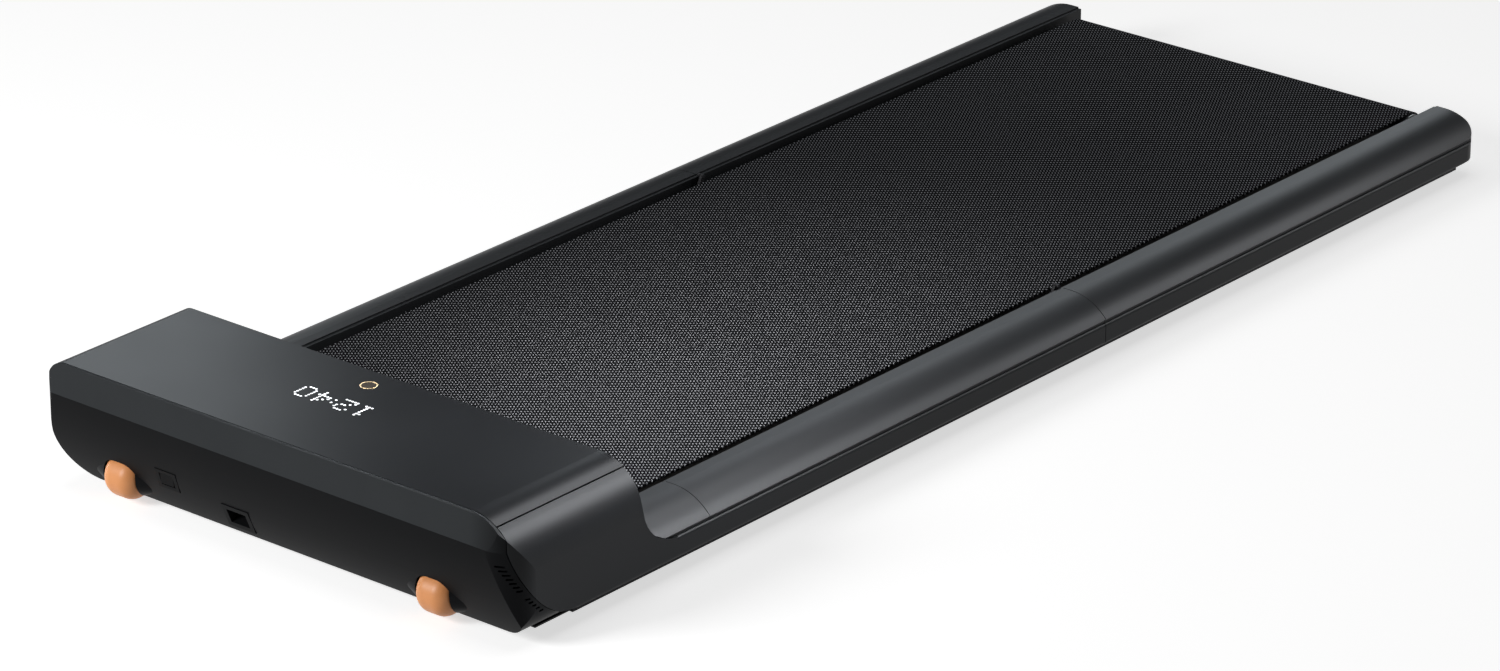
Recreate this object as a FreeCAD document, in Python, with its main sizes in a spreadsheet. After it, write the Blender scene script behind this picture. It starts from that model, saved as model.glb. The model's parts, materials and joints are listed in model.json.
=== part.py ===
import FreeCAD, Part
import math
import os
from types import SimpleNamespace

import Sketcher
from FreeCAD import Placement, Rotation, Vector

# Folding walking pad: a console head with the drive, a front half and a rear half that swings up and over.
# Frame: +Z up from the floor, +Y from the head to the tail, +X to the right-hand rail.
# The origin is on the floor under the middle.
# Driving dimensions, in millimetres and degrees. Names that end in share are parts of the size they follow.
driving = {
    # whole pad
    "pad_length": 1432.0,
    "pad_width": 547.0,
    "fold_share": 0.0723,
    "shell_wall": 3.0,
    "seam_gap": 0.8,
    "clear_gap": 0.3,
    "running_gap": 0.05,
    "overrun": 12.0,
    # feet and bottom covers
    "foot_height": 8.0,
    "foot_radius": 16.0,
    "foot_inset": 39.5,
    "foot_end_inset": 60.0,
    "cover_sheet": 1.5,
    "cover_inset": 11.5,
    "cover_flange": 12.0,
    "cover_tail_inset": 20.0,
    "screw_radius": 2.0,
    "screw_head_radius": 4.0,
    "screw_head_height": 1.6,
    "screw_length": 5.0,
    "screw_end_inset": 110.0,
    # console head
    "head_height": 120.5,
    "head_bottom": 11.0,
    "head_overhang": 26.0,
    "band_low": 91.6,
    "band_lean": 4.4,
    "ridge_round": 2.0,
    "front_curve": 160.0,
    "toe_setback": 21.4,
    "near_corner_round": 30.0,
    "far_corner_round": 6.0,
    "near_bottom_round": 24.0,
    "far_bottom_round": 44.0,
    "near_shoulder": 48.0,
    "far_shoulder": 16.0,
    "near_seam_drop": 7.4,
    "far_seam_drop": 2.0,
    "sweep_radius": 98.0,
    "sweep_back": 60.0,
    "sweep_top": 92.0,
    "sweep_low": 22.0,
    "sweep_tail": 28.0,
    "scoop_radius": 45.0,
    "rear_wall_low": 62.0,
    "vent_length": 5.0,
    "vent_height": 1.8,
    "vent_pitch": 3.8,
    "vent_top": 80.0,
    "vent_group_gap": 5.0,
    "vent_setback": 1.2,
    "vent_clear": 3.0,
    # rails and skirts
    "rail_inset": 54.0,
    "rail_top": 60.3,
    "rail_round": 54.0,
    "rail_ledge": 3.5,
    "rail_ledge_drop": 1.5,
    "rail_lip_height": 42.0,
    "rail_foot_inset": 1.6,
    "nose_length": 88.0,
    "skirt_top": 38.0,
    "skirt_bottom": 17.0,
    "skirt_round": 3.5,
    "skirt_end": 90.0,
    "tail_round": 18.0,
    "heel_length": 40.0,
    "heel_rise": 6.0,
    # steel frame and running boards
    "beam_inset": 54.5,
    "beam_width": 30.0,
    "beam_top": 43.0,
    "beam_wall": 2.0,
    "beam_start_gap": 4.3,
    "beam_tail_inset": 10.0,
    "cross_width": 40.0,
    "cross_low": 19.0,
    "cross_height": 18.0,
    "cross_wall": 2.0,
    "board_thickness": 14.0,
    "board_inset": 6.0,
    "board_roller_gap": 6.0,
    "cushion_share": 0.72,
    "cushion_length": 60.0,
    "cushion_width": 30.0,
    # walking belt and rollers
    "belt_inset": 64.5,
    "belt_thickness": 2.0,
    "roller_radius": 20.0,
    "roller_wall": 2.5,
    "roller_overhang": 2.0,
    "roller_height": 35.0,
    "front_roller_back": 141.0,
    "rear_roller_inset": 26.0,
    "axle_radius": 6.0,
    "bearing_width": 11.0,
    "bracket_plate": 5.0,
    "bracket_ahead": 24.0,
    "bracket_behind": 95.0,
    "bracket_top": 46.0,
    "tension_plate": 6.0,
    "tension_bolt_radius": 4.0,
    "tension_head_radius": 6.5,
    "tension_head_height": 5.0,
    "tension_inset": 43.5,
    # fold hinge
    "hinge_rise": 0.3,
    "hinge_eye": 1.9,
    "hinge_pin_radius": 1.0,
    "hinge_pin_head": 1.6,
    "hinge_head_height": 1.2,
    "hinge_plate": 3.0,
    "hinge_arm": 60.0,
    "hinge_arm_low": 20.0,
    "hinge_arm_high": 41.0,
    "hinge_pad_setback": 12.0,
    # drive
    "motor_ahead": 61.0,
    "motor_lift": 15.0,
    "motor_share": 0.7,
    "motor_length": 120.0,
    "motor_inset": 142.0,
    "motor_end_wall": 5.0,
    "core_gap": 4.0,
    "core_end_gap": 6.0,
    "shaft_radius": 6.0,
    "shaft_stub": 6.0,
    "cradle_inset": 15.0,
    "cradle_top": 30.0,
    "pulley_width": 18.0,
    "pulley_flange": 2.0,
    "pulley_lip": 2.0,
    "roller_pulley_radius": 20.0,
    "motor_pulley_radius": 10.0,
    "drive_belt_thickness": 2.5,
    # electronics
    "tray_rear_gap": 3.0,
    "circuit_sheet": 2.0,
    "circuit_inset": 58.5,
    "circuit_gap": 3.5,
    "circuit_motor_gap": 20.0,
    "circuit_lift": 14.0,
    "post_radius": 4.0,
    "sink_span": 60.0,
    "sink_share": 0.75,
    "sink_height": 26.0,
    "can_radius": 11.0,
    "can_pitch": 33.0,
    "can_height": 30.0,
    "display_span": 96.0,
    "display_depth": 92.0,
    "display_thickness": 5.0,
    "display_offset": 20.0,
    "display_rear_gap": 18.0,
    # transport wheels
    "wheel_right_inset": 98.5,
    "wheel_left_inset": 77.5,
    "wheel_back": 21.0,
    "wheel_height": 25.5,
    "wheel_radius": 20.0,
    "wheel_width": 38.0,
    "wheel_edge": 14.0,
    "wheel_axle_radius": 4.0,
    "wheel_axle_reach": 30.0,
    "wheel_gap": 2.0,
    "hood_back": 26.0,
    "hood_height": 28.0,
    "hood_crown": 7.6,
    "hood_crown_radius": 21.6,
    "hood_tip_radius": 5.2,
    "hood_reach": 52.0,
    # power inlet and switch on the lower front
    "inlet_inset": 218.5,
    "inlet_height": 28.0,
    "inlet_width": 27.0,
    "inlet_tall": 20.0,
    "inlet_depth": 21.0,
    "inlet_rim": 2.5,
    "inlet_mouth_wall": 2.2,
    "inlet_cavity": 16.0,
    "inlet_proud": 0.3,
    "blade_width": 4.0,
    "blade_sheet": 2.0,
    "blade_length": 9.0,
    "blade_spread": 7.0,
    "blade_rise": 2.0,
    "switch_inset": 138.5,
    "switch_height": 43.0,
    "switch_width": 21.0,
    "switch_tall": 16.0,
    "switch_depth": 18.0,
    "switch_rim": 2.0,
    "switch_proud": 0.3,
    "rocker_width": 15.4,
    "rocker_tall": 10.2,
    "rocker_depth": 8.0,
    "rocker_pivot_depth": 3.0,
    "rocker_side_gap": 0.6,
    "rocker_end_gap": 1.3,
    "rocker_throw": 14.0,
    "trunnion_radius": 1.2,
    "trunnion_length": 1.6,
}
# Places of the cross members, as shares of a running board's length from its roller's end
cross_shares = (0.14, 0.48, 0.82)

doc = FreeCAD.newDocument("walking_pad")
sheet = doc.addObject("Spreadsheet::Sheet", "Sizes")


class Size:
    """A length: its value, and the formula on the sheet that gives it."""

    def __init__(self, value, text):
        self.value = value
        self.text = text

    def __add__(self, other):
        other = as_size(other)
        return Size(self.value + other.value, f"({self.text} + {other.text})")

    def __radd__(self, other):
        return as_size(other) + self

    def __sub__(self, other):
        other = as_size(other)
        return Size(self.value - other.value, f"({self.text} - {other.text})")

    def __rsub__(self, other):
        return as_size(other) - self

    def __mul__(self, other):
        other = as_size(other)
        return Size(self.value * other.value, f"({self.text} * {other.text})")

    def __rmul__(self, other):
        return as_size(other) * self

    def __truediv__(self, other):
        other = as_size(other)
        return Size(self.value / other.value, f"({self.text} / {other.text})")

    def __neg__(self):
        return Size(-self.value, f"(0 - {self.text})")


def as_size(number):
    if isinstance(number, Size):
        return number
    return Size(float(number), str(number))


def larger(first, second):
    return Size(max(first.value, second.value), f"max({first.text}; {second.text})")


def root(size):
    return Size(math.sqrt(size.value), f"sqrt({size.text})")


def fill_sheet():
    for row, (name, value) in enumerate(driving.items(), start=1):
        sheet.set(f"A{row}", name)
        sheet.set(f"B{row}", str(value))
        sheet.setAlias(f"B{row}", name)
    doc.recompute()
    return SimpleNamespace(**{name: Size(value, f"Sizes.{name}") for name, value in driving.items()})


d = fill_sheet()
nodes = []


def bind(thing, setting, size):
    thing.setExpression(setting, as_size(size).text)


def keep(thing):
    nodes.append(thing)
    return thing


def named(kind, label):
    thing = doc.addObject(kind, label)
    thing.Label = label
    return thing


def box(label, x, y, z):
    """A block between pairs of limits along X, Y and Z."""
    block = named("Part::Box", label)
    for setting, spot, (low, high) in (("Length", "x", x), ("Width", "y", y), ("Height", "z", z)):
        bind(block, setting, as_size(high) - low)
        bind(block, f"Placement.Base.{spot}", low)
    return block


turns = {"X": Rotation(Vector(0, 1, 0), 90), "Y": Rotation(Vector(1, 0, 0), -90), "Z": Rotation()}


def rod(label, along, start, end, at, radius):
    """A round bar along one axis, from start to end, at the two other coordinates."""
    bar = named("Part::Cylinder", label)
    bar.Placement = Placement(Vector(), turns[along])
    bind(bar, "Radius", radius)
    bind(bar, "Height", as_size(end) - start)
    spots = dict(zip([name for name in "XYZ" if name != along], at))
    spots[along] = start
    for name, spot in spots.items():
        bind(bar, f"Placement.Base.{name.lower()}", spot)
    return bar


def combine(kind, label, pieces):
    whole = named(kind, label)
    whole.Shapes = pieces
    return whole


def fuse(label, *pieces):
    return combine("Part::MultiFuse", label, list(pieces))


def common(label, *pieces):
    return combine("Part::MultiCommon", label, list(pieces))


def group(label, pieces):
    bundle = named("Part::Compound", label)
    bundle.Links = pieces
    return bundle


def cut(label, base, *tools):
    trimmed = named("Part::Cut", label)
    trimmed.Base = base
    trimmed.Tool = tools[0] if len(tools) == 1 else fuse(f"{label}_tools", *tools)
    return trimmed


def mirrored(label, source):
    twin = named("Part::Mirroring", label)
    twin.Source = source
    twin.Normal = Vector(1, 0, 0)
    return twin


def arc_centre(start, end, radius):
    """Centre of the arc of the given signed radius: positive turns left from start to end."""
    span = (end[0] - start[0], end[1] - start[1])
    length = root(span[0] * span[0] + span[1] * span[1])
    away = root(radius * radius - length * length / 4)
    side = away / length if radius.value > 0 else -(away / length)
    return ((start[0] + end[0]) / 2 - span[1] * side, (start[1] + end[1]) / 2 + span[0] * side)


def draw(sketch, corners):
    """A closed outline. A corner is (u, v), or (u, v, radius) where an arc runs to the next corner."""
    corners = [tuple(as_size(part) for part in corner) for corner in corners]
    count = len(corners)
    ends = []
    for index, corner in enumerate(corners):
        after = corners[(index + 1) % count]
        start = Vector(corner[0].value, corner[1].value, 0)
        end = Vector(after[0].value, after[1].value, 0)
        if len(corner) == 2:
            sketch.addGeometry(Part.LineSegment(start, end), False)
            ends.append((1, 2))
            continue
        radius = corner[2]
        centre = Vector(*[spot.value for spot in arc_centre(corner, after, radius)], 0)
        forward = radius.value > 0
        first, last = (start, end) if forward else (end, start)
        angles = [math.atan2(spot.y - centre.y, spot.x - centre.x) for spot in (first, last)]
        circle = Part.Circle(centre, Vector(0, 0, 1), abs(radius.value))
        sketch.addGeometry(Part.ArcOfCircle(circle, *angles), False)
        ends.append((1, 2) if forward else (2, 1))
        pin(sketch, f"radius{index}", Sketcher.Constraint("Radius", index, abs(radius.value)),
            radius if forward else -radius)
    for index, corner in enumerate(corners):
        after = (index + 1) % count
        meet = (index, ends[index][1], after, ends[after][0])
        sketch.addConstraint(Sketcher.Constraint("Coincident", *meet))
        for name, kind, spot in (("u", "DistanceX", corner[0]), ("v", "DistanceY", corner[1])):
            rule = Sketcher.Constraint(kind, -1, 1, index, ends[index][0], spot.value)
            pin(sketch, f"{name}{index}", rule, spot)


def pin(sketch, name, rule, size):
    index = sketch.addConstraint(rule)
    sketch.renameConstraint(index, name)
    bind(sketch, f"Constraints.{name}", size)


planes = {"X": "YZ_Plane", "Y": "XZ_Plane", "Z": "XY_Plane"}


def sketched(body, across, corners, offset):
    sketch = body.newObject("Sketcher::SketchObject", f"{body.Label}_outline")
    plane = [part for part in body.Origin.OriginFeatures if part.Role == planes[across]][0]
    sketch.AttachmentSupport = [(plane, "")]
    sketch.MapMode = "FlatFace"
    bind(sketch, "AttachmentOffset.Base.z", offset)
    draw(sketch, corners)
    return sketch


def prism(label, across, corners, low, high):
    """A body of one outline, padded along an axis: (Y, Z) along X, (X, Z) along Y, (X, Y) along Z."""
    body = named("PartDesign::Body", label)
    low = as_size(low)
    high = as_size(high)
    start = -high if across == "Y" else low
    pad = body.newObject("PartDesign::Pad", f"{label}_pad")
    pad.Profile = sketched(body, across, corners, start)
    bind(pad, "Length", high - low)
    return body


def spin(label, corners, at):
    """A body turned about an axis along X. Its outline is (distance along X, radius), at its centre."""
    body = named("PartDesign::Body", label)
    sketch = sketched(body, "Z", corners, 0)
    turn = body.newObject("PartDesign::Revolution", f"{label}_turn")
    turn.Profile = sketch
    turn.ReferenceAxis = (sketch, ["H_Axis"])
    turn.Angle = 360
    place(body, at)
    return body


def place(thing, at, tilt=None):
    if tilt is not None:
        thing.Placement = Placement(Vector(), Rotation(Vector(1, 0, 0), as_size(tilt).value))
        bind(thing, "Placement.Rotation.Angle", tilt)
    for name, spot in zip("xyz", at):
        bind(thing, f"Placement.Base.{name}", spot)
    return thing


def both_ways(size):
    return (-size, size)


def oblong(u, v):
    """Corners of a rectangle between two pairs of limits."""
    return [(u[0], v[0]), (u[1], v[0]), (u[1], v[1]), (u[0], v[1])]


# Levels and places that several pieces share
half_width = d.pad_width / 2
front = -d.pad_length / 2
tail = d.pad_length / 2
fold_place = d.pad_length * d.fold_share
front_cut = fold_place - d.seam_gap / 2
rear_cut = fold_place + d.seam_gap / 2
cover_side = half_width - d.cover_inset
cover_top = d.foot_height + d.cover_sheet
foot_side = half_width - d.foot_inset
rail_inner = half_width - d.rail_inset
rail_foot = half_width - d.rail_foot_inset
rail_foot_height = d.skirt_top + d.seam_gap
rail_bend = d.rail_lip_height - d.rail_top + d.rail_round
rail_flat = half_width - root(d.rail_round * d.rail_round - rail_bend * rail_bend)
beam_inner = half_width - d.beam_inset
beam_outer = beam_inner + d.beam_width
belt_reach = half_width - d.belt_inset
roller_reach = belt_reach + d.roller_overhang
tension_side = half_width - d.tension_inset
front_roller = front + d.front_roller_back
rear_roller = tail - d.rear_roller_inset
head_rear = front_roller + d.head_overhang
beam_start = front_roller + d.roller_pulley_radius + d.pulley_lip + d.beam_start_gap
nose_end = head_rear + d.nose_length
board_top = d.roller_height + d.roller_radius
board_low = board_top - d.board_thickness
cross_top = d.cross_low + d.cross_height
hinge_height = d.rail_top + d.hinge_rise
toe = (front + d.toe_setback, d.head_bottom)
band_foot = (front, d.band_low)
ridge = front + d.band_lean + d.ridge_round
sweep_end = front + d.sweep_back
sliver_end = sweep_end + d.sweep_tail
tray_end = front_roller - d.roller_radius - d.belt_thickness - d.tray_rear_gap


# Console head shells
def head_envelope(label, skin):
    """The head's outer form, or its hollow when skin is the wall's thickness."""
    top = d.head_height - skin
    low = d.head_bottom + skin
    nose = front + skin
    wide = half_width - skin
    near = d.near_shoulder - skin
    far = d.far_shoulder - skin
    near_corner = d.near_corner_round - skin
    far_corner = d.far_corner_round - skin
    near_heel = d.near_bottom_round - skin
    far_heel = d.far_bottom_round - skin
    back = head_rear + d.overrun
    crest = [(nose + d.band_lean, top)]
    if skin.value == 0:
        crest = [(nose + d.band_lean, top - d.ridge_round, -d.ridge_round), (ridge, top)]
    profile = prism(f"{label}_profile", "X", [
        (nose, d.band_low), *crest, (back, top), (back, low),
        (toe[0] + skin, low, -(d.front_curve - skin))], -wide, wide)
    outline = prism(f"{label}_outline", "Y", [
        (far_heel - wide, low), (wide - near_heel, low, near_heel), (wide, low + near_heel),
        (wide, top - near, near), (wide - near, top), (far - wide, top, far), (-wide, top - far),
        (-wide, low + far_heel, far_heel)],
        front - d.overrun, back)
    plan = prism(f"{label}_plan", "Z", [
        (-wide, back), (-wide, nose + far_corner, far_corner), (far_corner - wide, nose),
        (wide - near_corner, nose, near_corner), (wide, nose + near_corner), (wide, back)],
        d.head_bottom - d.overrun, d.head_height + d.overrun)
    return common(label, profile, outline, plan)


def head_shell():
    """The head's whole wall, from which the fascia and the front corners of the side panels are taken."""
    outer = head_envelope("head_outer", as_size(0))
    return cut("head_shell", outer, head_envelope("head_hollow", d.shell_wall))


vents_above = 7
vents_below = 5
hands = {"right": half_width - d.wheel_right_inset, "left": d.wheel_left_inset - half_width}
wheel_spot = (front + d.wheel_back, d.wheel_height)
hood_spot = (front + d.hood_back, d.hood_height)


def wheel_form(label, side, grow):
    """The barrel form of a wheel, larger all round by grow."""
    half = d.wheel_width / 2 + grow
    radius = d.wheel_radius + grow
    edge = d.wheel_edge + grow
    hub = d.wheel_axle_radius
    return spin(label, [
        (-half, hub), (half, hub), (half, radius - edge, edge), (half - edge, radius),
        (edge - half, radius, edge), (-half, radius - edge)], (hands[side], *wheel_spot))


def hood_form(label, side):
    """The form of the swelling over a wheel: two cones with a round crown between them."""
    reach = d.hood_reach
    crown = d.hood_crown
    rise = (d.hood_crown_radius - d.hood_tip_radius) / (reach - crown)
    bow = crown * root(rise * rise + 1) / rise
    return spin(label, [
        (-reach, 0), (reach, 0), (reach, d.hood_tip_radius), (crown, d.hood_crown_radius, bow),
        (-crown, d.hood_crown_radius), (-reach, d.hood_tip_radius)], (hands[side], *hood_spot))


def sweep_line(shift):
    """Corners of the swept joint between fascia and side panel, top to bottom, moved back by shift."""
    return [(ridge + shift, d.sweep_top, d.sweep_radius), (sweep_end + shift, d.sweep_low),
            (sliver_end + shift, d.skirt_bottom)]


def front_at(height):
    """How far forward the lower front reaches at a height."""
    middle = arc_centre(toe, band_foot, -d.front_curve)
    rise = height - middle[1]
    return middle[0] - root(d.front_curve * d.front_curve - rise * rise)


def front_lean(height):
    """Angle of the lower front from upright, at a height."""
    middle = arc_centre(toe, band_foot, -d.front_curve)
    slope = (middle[1] - height) / d.front_curve
    return Size(math.degrees(math.asin(slope.value)), f"asin({slope.text})")


def seam_at(height):
    """Where the swept joint between fascia and side panel lies at a height."""
    middle = arc_centre((ridge, d.sweep_top), (sweep_end, d.sweep_low), d.sweep_radius)
    rise = height - middle[1]
    return middle[0] - root(d.sweep_radius * d.sweep_radius - rise * rise)


def vent_slots():
    """Two groups of short slots round the right front corner, following the swept joint."""
    slots = []
    reach = (half_width - d.near_corner_round, half_width + d.overrun)
    for index in range(vents_above + vents_below):
        gap = d.vent_group_gap if index >= vents_above else as_size(0)
        height = d.vent_top - d.vent_pitch * index - gap
        stop = seam_at(height) - d.vent_clear
        ahead = larger(front_at(height) + d.vent_setback, stop - d.vent_length)
        slots.append(box(f"vent_{index}", reach, (ahead, stop), (height - d.vent_height, height)))
    return slots


def wheel_housing(side):
    """Solid swelling of the fascia over a wheel, and what is cut out of it for the wheel and its axle."""
    middle = hands[side]
    limit = box(f"hood_limit_{side}", (middle - d.hood_reach, middle + d.hood_reach), (front, sweep_end),
                (d.head_bottom, d.head_height))
    hood = common(f"hood_{side}", hood_form(f"hood_form_{side}", side), limit)
    reach = d.wheel_axle_reach + d.clear_gap
    bore = rod(f"hood_bore_{side}", "X", middle - reach, middle + reach, wheel_spot, d.wheel_axle_radius)
    return hood, [bore, wheel_form(f"wheel_room_{side}", side, d.wheel_gap)]


def front_fascia(shell):
    """Front mask of the head: leaning band, curved lower front, wheel housings, vents, two panel holes."""
    ahead = front - d.overrun
    above = d.head_height + d.overrun
    below = d.head_bottom - d.overrun
    seam, seam_end, sliver = sweep_line(as_size(0))
    region = prism("fascia_region", "X", [
        (ahead, below), (sliver[0], below), sliver, (*seam_end, -d.sweep_radius), seam[:2],
        (seam[0], above), (ahead, above)], -half_width - d.overrun, half_width + d.overrun)
    mask = common("fascia_mask", shell, region)
    inside = cover_side + d.clear_gap
    cuts = [box("fascia_floor_cut", both_ways(inside), (sweep_end, sliver_end + d.overrun), (below, above))]
    hoods = []
    for side in hands:
        hood, openings = wheel_housing(side)
        hoods.append(hood)
        cuts.extend(openings)
    cuts.extend(vent_slots())
    cuts.append(panel_hole("inlet_hole", inlet_spot, inlet_lean,
                           d.inlet_width / 2 + d.inlet_rim, d.inlet_tall / 2 + d.inlet_rim))
    cuts.append(panel_hole("switch_hole", switch_spot, switch_lean,
                           d.switch_width / 2 + d.switch_rim, d.switch_tall / 2 + d.switch_rim))
    keep(cut("front_fascia", fuse("fascia_stock", mask, *hoods), *cuts))


def panel_hole(label, spot, tilt, half_wide, half_tall):
    wide = half_wide + d.clear_gap
    tall = half_tall + d.clear_gap
    hole = prism(label, "X", oblong((-d.overrun, d.overrun), (-tall, tall)), -wide, wide)
    return place(hole, spot, tilt)


def seam_point(shoulder, drop, skin):
    """Place on a right-hand shoulder, at a drop below its crown: distance from the middle, and height."""
    rise = shoulder - drop
    shrink = (shoulder - skin) / shoulder
    reach = root(shoulder * shoulder - rise * rise)
    return (half_width - shoulder + reach * shrink, d.head_height - shoulder + rise * shrink)


def head_top_cover():
    near = d.near_shoulder
    far = d.far_shoulder
    top = d.head_height
    under = top - d.shell_wall
    near_out = seam_point(near, d.near_seam_drop, as_size(0))
    near_in = seam_point(near, d.near_seam_drop, d.shell_wall)
    far_out = seam_point(far, d.far_seam_drop, as_size(0))
    far_in = seam_point(far, d.far_seam_drop, d.shell_wall)
    keep(prism("head_top_cover", "Y", [
        (-far_out[0], far_out[1], -far), (far - half_width, top), (half_width - near, top, -near), near_out,
        (near_in[0], near_in[1], near - d.shell_wall), (half_width - near, under),
        (far - half_width, under, far - d.shell_wall), (-far_in[0], far_in[1])],
        ridge + d.seam_gap, head_rear))


def side_panel(label, side, shell, corner, shoulder, drop):
    """Side of the head with its shoulder and front corner, running on below the rail as the front skirt."""
    lower_drop = drop + d.seam_gap
    outer = seam_point(shoulder, lower_drop, as_size(0))
    inner = seam_point(shoulder, lower_drop, d.shell_wall)
    level = d.head_height - shoulder
    wall = prism(f"{label}_section", "Y", [
        (side * half_width, d.skirt_bottom + d.skirt_round), (side * half_width, level, side * shoulder),
        (side * outer[0], outer[1]), (side * inner[0], inner[1], -side * (shoulder - d.shell_wall)),
        (side * (half_width - d.shell_wall), level),
        (side * (half_width - d.shell_wall), d.skirt_bottom + d.skirt_round)],
        front + corner, head_rear + d.scoop_radius)
    depth = inner[0] - d.shell_wall
    bend = prism(f"{label}_bend", "Y", [
        (side * half_width, d.skirt_bottom), (side * half_width, level, side * shoulder),
        (side * outer[0], outer[1]), (side * inner[0], inner[1]), (side * depth, inner[1]),
        (side * depth, d.skirt_bottom)], front, front + corner)
    above = d.head_height + d.overrun
    seam, seam_end, sliver = sweep_line(d.seam_gap)
    scoop_end = head_rear + d.scoop_radius
    outline = prism(f"{label}_outline", "X", [
        (seam[0], above), seam, seam_end, sliver, (scoop_end, d.skirt_bottom),
        (scoop_end, d.skirt_top, -d.scoop_radius), (head_rear, d.skirt_top + d.scoop_radius),
        (head_rear, above)], -half_width - d.overrun, half_width + d.overrun)
    skirt = skirt_run(f"{label}_skirt", side, sliver[0], front_cut)
    lead = skirt_run(f"{label}_lead", side, front + corner, sliver[0])
    keep(fuse(label, common(f"{label}_head", wall, outline), common(f"{label}_corner", shell, bend, outline),
              common(f"{label}_toe", lead, outline), skirt))


def skirt_run(label, side, start, end):
    """Skirt below a rail: an upright face with rounded edges, and flanges that reach its carriers."""
    out = half_width
    back = half_width - d.shell_wall
    bend = d.skirt_round
    return prism(label, "Y", [
        (side * cover_side, d.skirt_top), (side * (out - bend), d.skirt_top, -side * bend),
        (side * out, d.skirt_top - bend), (side * out, d.skirt_bottom + bend, -side * bend),
        (side * (out - bend), d.skirt_bottom), (side * cover_side, d.skirt_bottom),
        (side * cover_side, d.skirt_bottom + d.shell_wall),
        (side * back, d.skirt_bottom + d.shell_wall), (side * back, d.skirt_top - d.shell_wall),
        (side * cover_side, d.skirt_top - d.shell_wall)], start, end)


def head_rear_wall():
    """Wall at the back of the head, above the walking belt, inside the covers."""
    skin = d.shell_wall + d.clear_gap
    near = d.near_shoulder - skin
    far = d.far_shoulder - skin
    wide = half_width - skin
    top = d.head_height - d.shell_wall
    section = prism("rear_wall_section", "Y", [
        (-wide, as_size(0)), (wide, as_size(0)), (wide, top - near, near), (wide - near, top),
        (far - wide, top, far), (-wide, top - far)], head_rear - d.shell_wall, head_rear)
    passage = box("belt_passage", both_ways(half_width), (head_rear - d.overrun, head_rear + d.overrun),
                  (0, d.rear_wall_low))
    keep(cut("head_rear_wall", section, passage))


# Rails
def rail_crown():
    """Outer line of a right-hand rail, from its inner ledge over the flat and the shoulder to the lip."""
    step = rail_inner + d.rail_ledge
    ledge = d.rail_top - d.rail_ledge_drop
    return [(rail_inner, d.beam_top), (rail_inner, ledge), (step, ledge), (step, d.rail_top),
            (rail_flat, d.rail_top, -d.rail_round), (half_width, d.rail_lip_height),
            (rail_foot, d.rail_lip_height)]


def rail(label, start, end):
    """Right-hand rail cover: walking edge, rounded shoulder, walls down to the beam and the skirt."""
    wall = d.shell_wall
    foot_in = rail_foot - wall
    hollow = d.rail_round - wall
    across = foot_in - rail_flat
    shelf = d.rail_top - d.rail_round + root(hollow * hollow - across * across)
    under = d.rail_top - wall
    return prism(label, "Y", [
        *rail_crown(), (rail_foot, rail_foot_height), (foot_in, rail_foot_height), (foot_in, shelf, hollow),
        (rail_flat, under), (rail_inner + d.rail_ledge + wall, under),
        (rail_inner + d.rail_ledge + wall, under - d.rail_ledge_drop),
        (rail_inner + wall, under - d.rail_ledge_drop), (rail_inner + wall, d.beam_top)], start, end)


def pair(label, source):
    """A right-hand piece and its mirrored left-hand twin."""
    source.Label = f"{label}_right"
    keep(source)
    keep(mirrored(f"{label}_left", source))


def twins(label, source):
    """A right-hand piece and its mirrored twin, alike in use, in one node."""
    keep(group(label, [source, mirrored(f"{label}_twin", source)]))


def nose_trim():
    """What is cut from the outer side of a rail's nose to fit inside the side panel's scoop."""
    scoop_end = head_rear + d.scoop_radius
    gap = d.seam_gap
    ahead = beam_start - d.overrun
    above = d.head_height
    return prism("nose_trim", "X", [
        (ahead, as_size(0)), (scoop_end, as_size(0)),
        (scoop_end, d.skirt_top + gap, -(d.scoop_radius - gap)),
        (head_rear + gap, d.skirt_top + d.scoop_radius), (head_rear + gap, above), (ahead, above)],
        half_width - d.shell_wall - d.clear_gap, half_width + d.overrun)


def tail_corner():
    """What is cut from the outer tail corner so that it is round in plan."""
    bend = d.tail_round
    return prism("tail_corner", "Z", [
        (half_width, tail - bend, bend), (half_width - bend, tail), (half_width - bend, tail + d.overrun),
        (half_width + d.overrun, tail + d.overrun), (half_width + d.overrun, tail - bend)],
        as_size(0), d.head_height)


def tail_heel():
    """What is cut from below the tail so that the skirt's lower edge rises at its end."""
    bow = (d.heel_length * d.heel_length + d.heel_rise * d.heel_rise) / (d.heel_rise * 2)
    start = tail - d.heel_length
    below = d.skirt_bottom - d.overrun
    return prism("tail_heel", "X", [
        (start, d.skirt_bottom, bow), (tail, d.skirt_bottom + d.heel_rise),
        (tail + d.overrun, d.skirt_bottom + d.heel_rise), (tail + d.overrun, below), (start, below)],
        as_size(0), half_width + d.overrun)


def rails_and_skirts():
    """Rail covers in three lengths, and the rear skirts. The tail ends are closed."""
    nose_run = rail("rail_nose_run", beam_start, nose_end - d.seam_gap)
    pair("rail_nose", cut("rail_nose_right", nose_run, nose_trim()))
    pair("rail_front", rail("rail_front_right", nose_end, front_cut))
    corner = tail_corner()
    beside = beam_outer + d.clear_gap
    rail_end = prism("rail_end", "Y", [
        *rail_crown(), (rail_foot, rail_foot_height), (beside, rail_foot_height), (beside, d.beam_top)],
        tail - d.tail_round, tail)
    rail_stock = fuse("rail_rear_stock", rail("rail_rear_run", rear_cut, tail), rail_end)
    pair("rail_rear", cut("rail_rear_right", rail_stock, corner))
    wall = d.shell_wall
    skirt_end = box("skirt_end", (cover_side, half_width - wall), (tail - d.skirt_end, tail),
                    (d.skirt_bottom + wall, d.skirt_top - wall))
    skirt_stock = fuse("skirt_rear_stock", skirt_run("skirt_rear_run", 1, rear_cut, tail), skirt_end)
    pair("skirt_rear", cut("skirt_rear_right", skirt_stock, corner, tail_heel()))


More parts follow.
